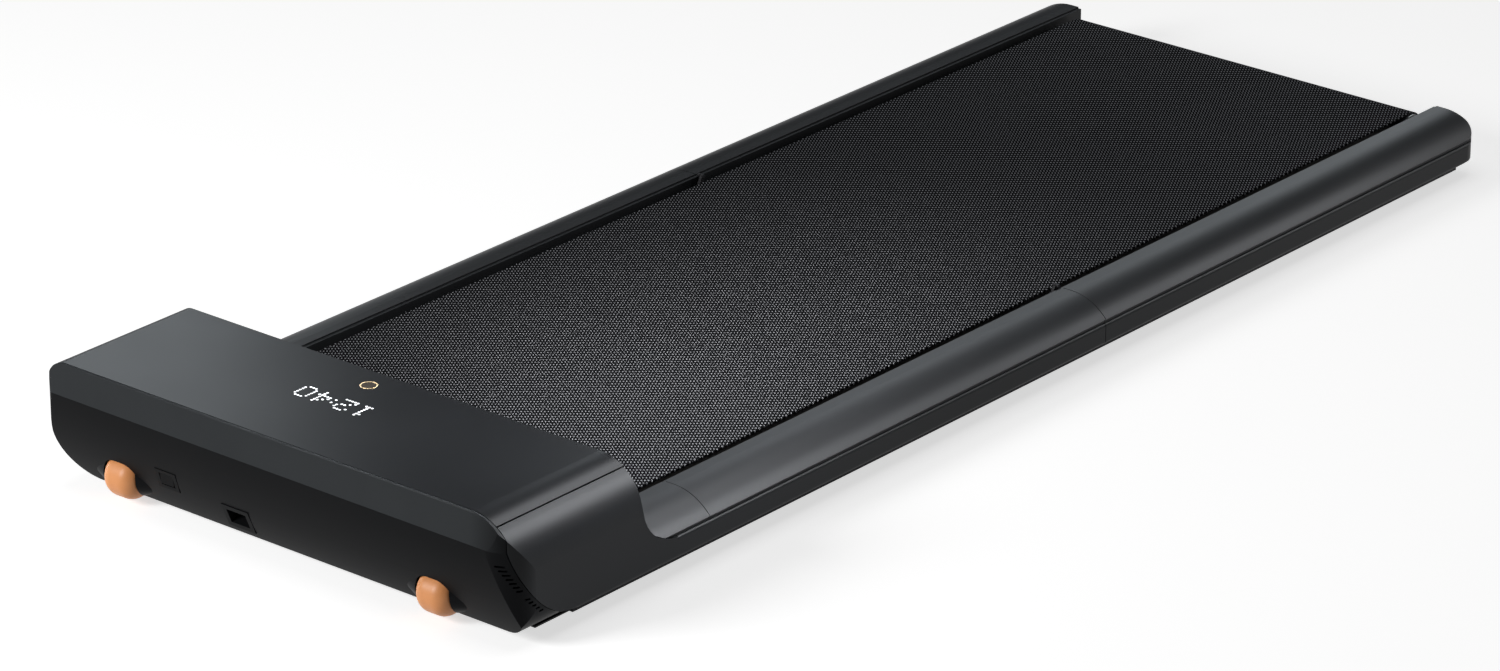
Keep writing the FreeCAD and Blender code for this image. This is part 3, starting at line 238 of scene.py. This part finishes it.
def makeStudio(spec):
    half, white = spec["floorHalf"], (1, 1, 1, 1)
    mesh = bpy.data.meshes.new("floor")
    mesh.from_pydata([(-half, -half, 0), (half, -half, 0), (half, half, 0), (-half, half, 0)], [], [(0, 1, 2, 3)])
    floor = bpy.data.objects.new("floor", mesh)
    scene.collection.objects.link(floor)
    paint = Paint("floorWhite")
    diffuse = paint.add("ShaderNodeBsdfDiffuse", sockets={"Color": (*spec["floorColour"], 1.0)})
    lift = paint.add("ShaderNodeEmission", sockets={"Color": white, "Strength": seenRays(paint) * spec["floorLift"]})
    both = paint.add("ShaderNodeAddShader", sockets={0: diffuse, 1: lift})
    paint.add("ShaderNodeOutputMaterial", sockets={0: both})
    mesh.materials.append(paint.owner)
    world = bpy.data.worlds.new("studioWorld")
    scene.world = world
    sky = Paint("studioWorld", world)
    ambient = sky.add("ShaderNodeBackground", sockets={"Color": white, "Strength": spec["worldStrength"]})
    sky.add("ShaderNodeOutputWorld", sockets={0: ambient})
    spared = bpy.data.collections.new("sparedFloor")  # lamps for the object alone leave the floor out
    spared.objects.link(floor)
    spared.collection_objects[0].light_linking.link_state = "EXCLUDE"
    for name, lamp in spec["lamps"].items():
        makeLamp(name, lamp, spared)


makeStudio(studio)
print("studio set")


# finishes
shellLook = {"colour": (0.0120, 0.0127, 0.0138), "tones": ((0.3, 0.9), (0.7, 1.1)), "specular": 0.10,
             "cloud": 9.0, "cloudDetail": 3.0, "cloudShare": 0.7,
             "grain": 1400.0, "grainDetail": 2.0, "grainHeight": 0.00002, "grainStrength": 0.35,
             "roughness": 0.38, "roughDrop": 0.05, "roughCloud": 0.06, "roughGrain": 0.04}


def grainedSurface(paint, look, cloud, grain, colour):
    rough = look["roughness"] - look["roughDrop"] + cloud * look["roughCloud"] + grain * look["roughGrain"]
    return paint.surface(colour=colour, roughness=rough, specular=look["specular"],
                         normal=paint.bump(grain, look["grainStrength"], look["grainHeight"]))


def mottle(paint, look, colour):  # soft clouds and fine grain, and the colour they vary
    cloud = paint.noise(look["cloud"], look["cloudDetail"])
    grain = paint.noise(look["grain"], look["grainDetail"])
    mixed = cloud * look["cloudShare"] + grain * (1 - look["cloudShare"])
    return cloud, grain, toneRamp(paint, mixed, look, colour)


def mouldedPlastic(name, look):
    paint = Paint(name)
    cloud, grain, colour = mottle(paint, look, look["colour"])
    return grainedSurface(paint, look, cloud, grain, colour)


# the band's colour is painted light and the lower colour is painted shade; the painted light fades out across the
# given X span at the right corner
fasciaLook = {**shellLook, "bandPaintedLight": (0.033, 0.0360, 0.0385), "lowPaintedShade": (0.0050, 0.0053, 0.0060),
              "bandFoot": 0.0916, "bandLightFade": (0.226, 0.262), "specular": 0.05}


def paintedLightFascia(name, look):  # painted light on the upper band and painted shade on the lower front, standing in for how each faces the lamps
    paint = Paint(name)
    cloud, grain, speck = mottle(paint, look, (1, 1, 1))
    start, end = look["bandLightFade"]
    cornerLightFade = paint.add("ShaderNodeMapRange", sockets={0: paint.axis("X"), 1: start, 2: end, 3: 1.0, 4: 0.0})
    band = (paint.axis("Z") > look["bandFoot"]) * cornerLightFade  # the painted light on the band fades out round the right corner
    tone = paint.mix(band, (*look["lowPaintedShade"], 1.0), (*look["bandPaintedLight"], 1.0))
    colour = paint.mix(1.0, tone, speck, "MULTIPLY")
    return grainedSurface(paint, look, cloud, grain, colour)


steelLook = {"colour": (0.52, 0.53, 0.54), "tones": ((0.3, 0.85), (0.7, 1.08)), "cloud": 25.0,
             "lay": 2600.0, "layDetail": 2.0, "layHeight": 0.00002, "layStrength": 0.2,
             "roughness": 0.30, "roughDrop": 0.06, "roughLay": 0.12}


def turnedSteel(name, look):  # fine turning lines round an axle that runs along X
    paint = Paint(name)
    lines = paint.add("ShaderNodeTexNoise", {"noise_dimensions": "1D"},
                      {"W": paint.axis("X"), "Scale": look["lay"], "Detail": look["layDetail"]})
    colour = toneRamp(paint, paint.noise(look["cloud"]), look, look["colour"])
    rough = look["roughness"] - look["roughDrop"] + lines * look["roughLay"]
    return paint.surface(colour=colour, metallic=1.0, roughness=rough,
                         normal=paint.bump(lines, look["layStrength"], look["layHeight"]))


boardLook = {"colour": (0.016, 0.013, 0.011), "tones": ((0.35, 0.7), (0.65, 1.15)), "cloud": 12.0,
             "fibre": 700.0, "fibreDetail": 6.0, "fibreRoughness": 0.7, "fibreShare": 0.6, "fibreHeight": 0.0001,
             "fibreStrength": 0.3, "roughness": 0.6, "roughCloud": 0.1}


def fibreBoard(name, look):
    paint = Paint(name)
    fibre = paint.noise(look["fibre"], look["fibreDetail"], look["fibreRoughness"])
    cloud = paint.noise(look["cloud"])
    mixed = fibre * look["fibreShare"] + cloud * (1 - look["fibreShare"])
    return paint.surface(colour=toneRamp(paint, mixed, look, look["colour"]),
                         roughness=look["roughness"] + cloud * look["roughCloud"],
                         normal=paint.bump(fibre, look["fibreStrength"], look["fibreHeight"]))


beltLook = {"acrossStep": (0.00228, 0.00195), "alongStep": (-0.00263, 0.00501), "dotHeight": 0.0004,
            "dotStrength": 1.0, "dotColour": (0.105, 0.106, 0.112), "gapColour": (0.0028, 0.0029, 0.0032),
            "flankTone": 0.35, "colourPlaces": (0.28, 0.55, 0.90), "dotRoughness": 0.45, "gapRoughness": 0.80,
            "roughPlaces": (0.15, 0.6), "wear": 7.0, "wearDetail": 3.0, "wearRough": 0.1, "specular": 0.0}


def dottedBelt(name, look):
    paint = Paint(name)
    run = paint.add("ShaderNodeUVMap", {"uv_map": "beltRun"})
    across = paint.add("ShaderNodeSeparateXYZ", sockets={0: run}, out="X")
    along = paint.add("ShaderNodeSeparateXYZ", sockets={0: run}, out="Y")
    (ax, ay), (bx, by) = look["acrossStep"], look["alongStep"]
    turn = 2 * math.pi / (ax * by - ay * bx)  # one wave over each cell of the dot pattern
    first = across * (by * turn) - along * (bx * turn)
    second = along * (ax * turn) - across * (ay * turn)
    waves = paint.cosine(first) + paint.cosine(second) + paint.cosine(first + second)
    lowest, highest = -1.5, 3.0  # of three such cosines
    dots = (waves - lowest) / (highest - lowest)  # 1 on a dot, 0 between dots
    wear = paint.noise(look["wear"], look["wearDetail"])
    flank = shade(look["dotColour"], look["flankTone"])
    colour = paint.ramp(dots, list(zip(look["colourPlaces"], (look["gapColour"], flank, look["dotColour"]))))
    greys = [(look[key],) * 3 for key in ("gapRoughness", "dotRoughness")]
    rough = paint.ramp(dots, list(zip(look["roughPlaces"], greys))) + (wear - 0.5) * look["wearRough"]
    return paint.surface(colour=colour, roughness=rough, specular=look["specular"],
                         normal=paint.bump(dots, look["dotStrength"], look["dotHeight"]))


looks = {
    "shell_grey": mouldedPlastic("shellGrey", shellLook),
    "belt_black": dottedBelt("beltDotted", beltLook),
    "rubber_black": mouldedPlastic("rubberBlack", {**shellLook, "colour": (0.014, 0.014, 0.014), "roughness": 0.75,
                                                   "grain": 900.0}),
    "wheel_orange": mouldedPlastic("wheelOrange", {**shellLook, "colour": (0.86, 0.355, 0.130), "roughness": 0.42,
                                                   "specular": 0.5}),
    "frame_black": mouldedPlastic("frameBlack", {**shellLook, "colour": (0.016, 0.016, 0.018), "roughness": 0.5,
                                                 "grain": 700.0, "grainHeight": 0.00006}),
    "board_wood": fibreBoard("boardFibre", boardLook),
    "steel_bright": turnedSteel("steelTurned", steelLook),
    "rotor_iron": turnedSteel("rotorIron", {**steelLook, "colour": (0.15, 0.15, 0.15), "roughness": 0.5}),
    "pulley_metal": turnedSteel("pulleyMetal", {**steelLook, "colour": (0.62, 0.62, 0.63), "roughness": 0.35}),
    "tray_plastic": mouldedPlastic("trayBlack", {**shellLook, "colour": (0.022, 0.022, 0.022), "roughness": 0.55}),
    "gloss_black": mouldedPlastic("glossBlack", {**shellLook, "colour": (0.010, 0.010, 0.011), "roughness": 0.22,
                                                 "specular": 0.5}),
}


panelLook = mouldedPlastic("panelBlack", {**shellLook, "colour": (0.0060, 0.0063, 0.0070), "roughness": 0.5,
                                          "specular": 0.05})
nodeLooks = {
    "power_inlet": panelLook, "switch_housing": panelLook, "power_rocker": panelLook,
    # front fascia: painted light on its upper band, painted shade on its lower front
    "front_fascia": paintedLightFascia("fasciaPaintedLight", fasciaLook),
    "head_top_cover": mouldedPlastic("topPanel", {**shellLook, "colour": (0.0040, 0.0043, 0.0050),
                                                  "roughness": 0.31}),
}


def dressNodes():
    for entry in frame["record"]["subparts"]:
        name = entry["node"]
        nodes[name].data.materials.clear()
        nodes[name].data.materials.append(nodeLooks.get(name, looks[entry["material_slot"]]))


dressNodes()
print("finishes on")


# walking belt: one loop over both rollers, with stations close together at the fold line
beltLoop = {"halfWidth": 0.209, "thickness": 0.002, "edge": 0.0005, "rollerRadius": 0.020, "rollerHeight": 0.035,
            "frontRoller": -0.575, "rearRoller": 0.690, "foldLine": 0.1035336, "foldReach": 0.008,
            "arcSteps": 28, "runStep": 0.03, "foldStep": 0.0005, "fineSpan": 1.5, "fineStart": 1.49,
            "closeEnough": 1e-6, "sharpAngle": 30.0}


def runStations(start, end, spec):  # places along a straight run, close together at the fold line
    places = [start]
    forward = 1 if end > start else -1
    while (end - places[-1]) * forward > spec["closeEnough"]:
        near = abs(places[-1] - spec["foldLine"]) < spec["foldReach"] * spec["fineSpan"]
        step = spec["foldStep"] if near else spec["runStep"]
        edge = spec["foldLine"] - forward * spec["foldReach"] * spec["fineStart"]
        if not near and (edge - places[-1]) * forward > 0:
            step = min(step, (edge - places[-1]) * forward)
        places.append(places[-1] + forward * min(step, (end - places[-1]) * forward))
    return places


def arcStations(spec, middle, start):  # half a turn round a roller
    stations = []
    for index in range(1, spec["arcSteps"]):
        angle = start - math.pi * index / spec["arcSteps"]
        outY, outZ = math.cos(angle), math.sin(angle)
        stations.append((middle + spec["rollerRadius"] * outY, spec["rollerHeight"] + spec["rollerRadius"] * outZ,
                         outY, outZ))
    return stations


def loopStations(spec):  # (y, z, outward y, outward z) round the loop, on the belt's inner face
    top = spec["rollerHeight"] + spec["rollerRadius"]
    low = spec["rollerHeight"] - spec["rollerRadius"]
    stations = [(y, top, 0, 1) for y in runStations(spec["frontRoller"], spec["rearRoller"], spec)]
    stations += arcStations(spec, spec["rearRoller"], math.pi / 2)
    stations += [(y, low, 0, -1) for y in runStations(spec["rearRoller"], spec["frontRoller"], spec)]
    return stations + arcStations(spec, spec["frontRoller"], -math.pi / 2)


def makeBelt(spec):
    half, thick, edge = spec["halfWidth"], spec["thickness"], spec["edge"]
    section = [(-half + edge, 0), (-half, edge), (-half, thick - edge), (-half + edge, thick),
               (half - edge, thick), (half, thick - edge), (half, edge), (half - edge, 0)]
    stations = loopStations(spec)
    mesh = bmesh.new()
    run = mesh.loops.layers.uv.new("beltRun")
    rings = [[mesh.verts.new((x, y + outY * out, z + outZ * out)) for x, out in section]
             for y, z, outY, outZ in stations]
    lengths = [0.0]
    for (y0, z0, a0, b0), (y1, z1, a1, b1) in zip(stations, stations[1:] + stations[:1]):
        lengths.append(lengths[-1] + math.hypot(y1 + a1 * thick - y0 - a0 * thick, z1 + b1 * thick - z0 - b0 * thick))
    count = len(section)
    for index, ring in enumerate(rings):
        after = rings[(index + 1) % len(rings)]
        for side in range(count):
            face = mesh.faces.new((ring[side], ring[(side + 1) % count], after[(side + 1) % count], after[side]))
            face.smooth = True
            for corner in face.loops:
                length = lengths[index] if corner.vert in ring else lengths[index + 1]
                corner[run].uv = (corner.vert.co.x, length)
    mesh.normal_update()
    bmesh.ops.recalc_face_normals(mesh, faces=mesh.faces)
    for line in mesh.edges:
        line.smooth = line.calc_face_angle(0) < math.radians(spec["sharpAngle"])
    data = bpy.data.meshes.new("walking_belt")
    mesh.to_mesh(data)
    mesh.free()
    belt = bpy.data.objects.new("walking_belt", data)
    scene.collection.objects.link(belt)
    data.materials.append(looks["belt_black"])
    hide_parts("walking_belt_front", "walking_belt_rear")
    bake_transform(belt)


makeBelt(beltLoop)
print("belt laid")


# display: dot figures and a touch ring on the head's top, read from the belt
display = {"middle": (-0.0185, -0.619), "top": 0.1205, "figures": "12:40", "pitch": 0.0033, "dotRadius": 0.00125,
           "dotHeight": 0.00012, "dotSides": 12, "middleRow": 3, "colour": (0.90, 0.92, 0.95),
           "tones": ((0.2, 0.85), (0.8, 1.0)), "speck": 900.0, "speckDetail": 2.0, "roughness": 0.5, "glow": 0.35}
dotRows = {"0": "01110 10001 10001 10001 10001 10001 01110", "1": "00100 01100 00100 00100 00100 00100 01110",
           "2": "01110 10001 00001 00110 01000 10000 11111", "4": "00010 00110 01010 10010 11111 00010 00010",
           ":": "0 0 1 0 1 0 0"}


def dotPlaces(figures):  # column and row of each lit dot, rows counted downwards
    places = []
    column = 0
    for figure in figures:
        rows = dotRows[figure].split()
        places += [(column + index, row) for row, marks in enumerate(rows) for index, mark in enumerate(marks)
                   if mark == "1"]
        column += len(rows[0]) + 1
    return places, column - 1


discTaper = 0.015  # how much a disc's edge draws in, as a share of its radius


def addDisc(mesh, centre, radius, low, high, sides, bore=0.0):  # a thin disc, or a flat ring where bore is given
    def circle(size, height):
        return [mesh.verts.new((centre[0] + size * math.cos(2 * math.pi * k / sides),
                                centre[1] + size * math.sin(2 * math.pi * k / sides), height)) for k in range(sides)]
    rim = [circle(radius, low), circle(radius * (1 - discTaper), high)]
    if bore:
        rim += [circle(bore * (1 + discTaper), high), circle(bore, low)]
        loops = list(zip(rim, rim[1:] + rim[:1]))
    else:
        mesh.faces.new(rim[1])
        mesh.faces.new(rim[0][::-1])
        loops = [(rim[0], rim[1])]
    for first, second in loops:
        for k in range(sides):
            mesh.faces.new((first[k], first[(k + 1) % sides], second[(k + 1) % sides], second[k]))


def finishPiece(mesh, name, look, body):
    bmesh.ops.recalc_face_normals(mesh, faces=mesh.faces)
    data = bpy.data.meshes.new(name)
    mesh.to_mesh(data)
    mesh.free()
    piece = bpy.data.objects.new(name, data)
    scene.collection.objects.link(piece)
    data.materials.append(look)
    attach(piece, body)


def litDots(name, look):  # light points that shine through the cover
    paint = Paint(name)
    glow = toneRamp(paint, paint.noise(look["speck"], look["speckDetail"]), look, look["colour"])
    return paint.surface(colour=glow, roughness=look["roughness"], glow=glow, glowStrength=look["glow"])


def makeDisplay(spec):
    places, columns = dotPlaces(spec["figures"])
    mesh = bmesh.new()
    pitch = spec["pitch"]
    for column, row in places:
        centre = (spec["middle"][0] + (columns - 1) * pitch / 2 - column * pitch,
                  spec["middle"][1] - (spec["middleRow"] - row) * pitch)
        addDisc(mesh, centre, spec["dotRadius"], spec["top"], spec["top"] + spec["dotHeight"], spec["dotSides"])
    finishPiece(mesh, "display_figures", litDots("litFigures", spec), "front_half")


touchRing = {"middle": (-0.019, -0.574), "radius": 0.0080, "bore": 0.0070, "top": 0.1205, "height": 0.00018,
             "sides": 64, "padFit": 0.98, "padHeight": 0.00006, "colour": (0.62, 0.46, 0.25),
             "inside": (0.022, 0.017, 0.012)}


def makeTouchRing(spec):
    top = spec["top"]
    ring = bmesh.new()
    addDisc(ring, spec["middle"], spec["radius"], top, top + spec["height"], spec["sides"], spec["bore"])
    ringLook = mouldedPlastic("ringGold", {**shellLook, "colour": spec["colour"], "roughness": 0.35, "specular": 0.5})
    finishPiece(ring, "touch_ring", ringLook, "front_half")
    pad = bmesh.new()
    addDisc(pad, spec["middle"], spec["bore"] * spec["padFit"], top, top + spec["padHeight"], spec["sides"])
    padLook = mouldedPlastic("ringPad", {**shellLook, "colour": spec["inside"]})
    finishPiece(pad, "touch_pad", padLook, "front_half")


makeDisplay(display)
makeTouchRing(touchRing)
print("display lit")
